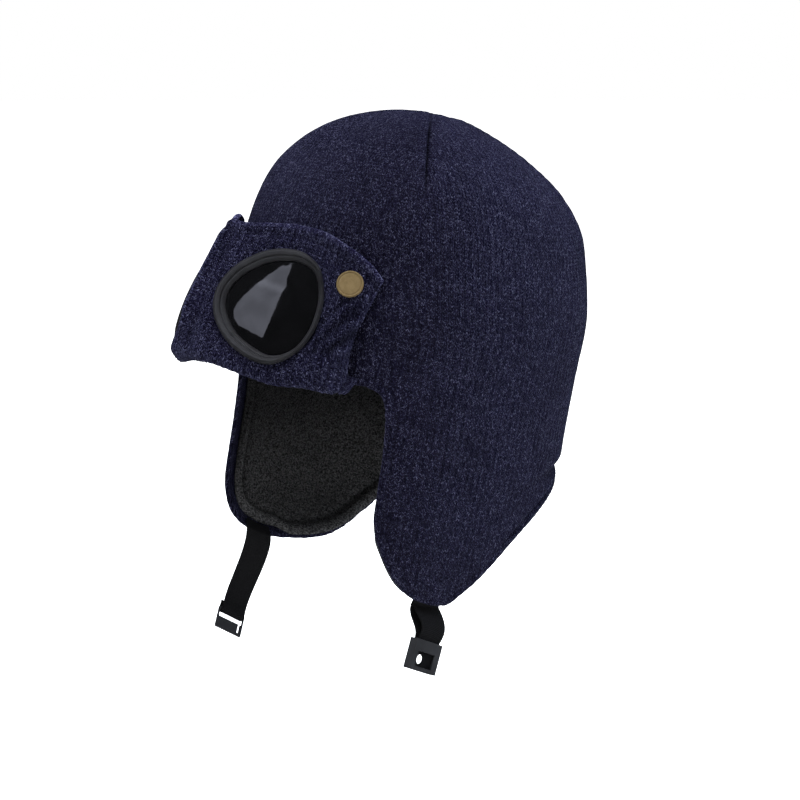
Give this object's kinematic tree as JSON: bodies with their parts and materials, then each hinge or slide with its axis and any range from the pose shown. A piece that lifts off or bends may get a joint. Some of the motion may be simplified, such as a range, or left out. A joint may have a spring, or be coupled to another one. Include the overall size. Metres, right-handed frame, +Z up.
{
  "type": "aviator hat",
  "caption": "Knitted aviator hat with long ear flaps, fleece lining, a turned-up goggle panel with domed lenses, snap caps and webbing ends with a small clasp.",
  "frame": {"origin": "the highest point of the inside of the crown, where a head touches it", "axes": "+Z up, -Y out of the wearer's face, +X towards the wearer's left"},
  "size_m": [0.1835, 0.2694, 0.3179],
  "materials": {
    "knit_outer": "matt mid-blue-grey marl rib knit",
    "fleece_lining": "dark grey short-pile fleece",
    "knit_panel": "matt marl rib knit, doubled",
    "rim_plastic": "satin dark grey plastic",
    "lens_plastic": "opaque glossy black",
    "snap_brass": "antique brass, satin",
    "webbing": "dark grey woven webbing",
    "clasp_plastic": "satin dark grey plastic"
  },
  "bodies": {
    "root": {"crown_shell": "knit_outer", "lining": "fleece_lining", "goggle_flap": "knit_panel", "goggle_rim_left": "rim_plastic", "goggle_rim_right": "rim_plastic", "goggle_lens_left": "lens_plastic", "goggle_lens_right": "lens_plastic", "snap_cap_left": "snap_brass", "snap_cap_right": "snap_brass", "strap_left": "webbing", "strap_right": "webbing", "clasp_socket": "clasp_plastic", "clasp_plug": "clasp_plastic"}
  },
  "joints": []
}
